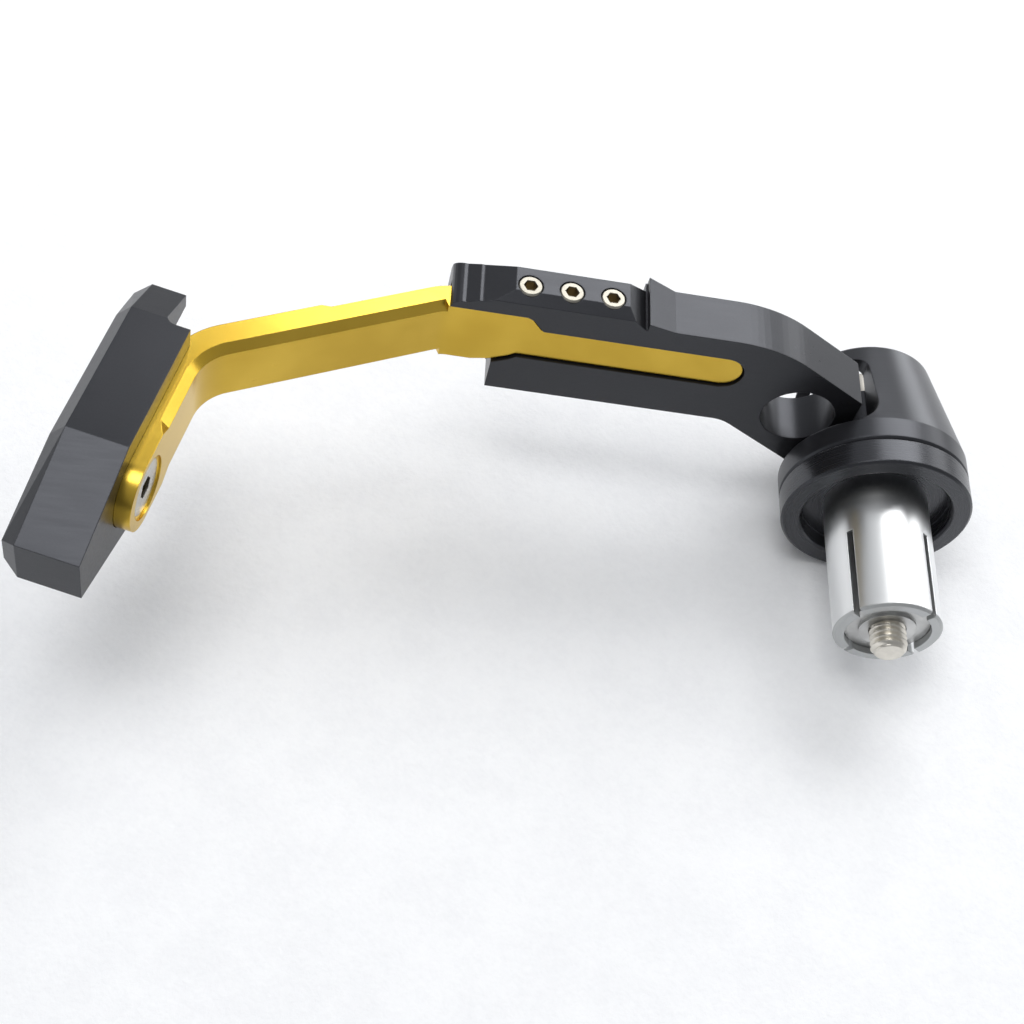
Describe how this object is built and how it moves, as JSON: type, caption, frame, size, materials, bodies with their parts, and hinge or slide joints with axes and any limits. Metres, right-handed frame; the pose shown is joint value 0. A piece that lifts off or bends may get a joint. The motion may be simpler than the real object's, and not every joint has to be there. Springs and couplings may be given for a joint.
{
  "type": "brake lever guard",
  "caption": "Guard for a handlebar's brake lever: expanding bar end clamp, swinging flat arm with a bent bar that slides in it, and a forked tip block.",
  "frame": {"origin": "centre of the seat ring's rim plane, on the handlebar's axis", "axes": "+Y along the handlebar's axis out of its end, so the sleeve points to -Y and the cap's outer end to +Y; the arm runs to -X; the grub screws face +Z"},
  "size_m": [0.1517, 0.0711, 0.0443],
  "materials": {
    "black_anodised": "satin black anodised, fine blasted surface",
    "gold_anodised": "satin gold anodised",
    "bright_aluminium": "turned, clear",
    "plated_steel": "zinc or nickel plated"
  },
  "bodies": {
    "bar_end": {"bar_end_cap": "black_anodised", "seat_ring": "black_anodised", "expander_sleeve": "bright_aluminium", "cone_nut": "plated_steel", "clamp_bolt": "plated_steel", "clamp_washer": "plated_steel"},
    "arm": {"guard_arm": "black_anodised", "grub_screws": "plated_steel", "edge_grub_screw": "plated_steel"},
    "slider": {"slide_bar": "gold_anodised", "tip_block": "black_anodised", "tip_screw": "plated_steel"}
  },
  "joints": [
    {"name": "arm_swivel", "type": "hinge", "parent": "bar_end", "child": "arm", "pos_m": [0, 0.0157, 0], "axis": [0, 1, 0], "range_deg": [-20, 5]},
    {"name": "bar_slide", "type": "slide", "parent": "arm", "child": "slider", "axis": [-1, 0, 0], "range_m": [0, 0.02]}
  ]
}
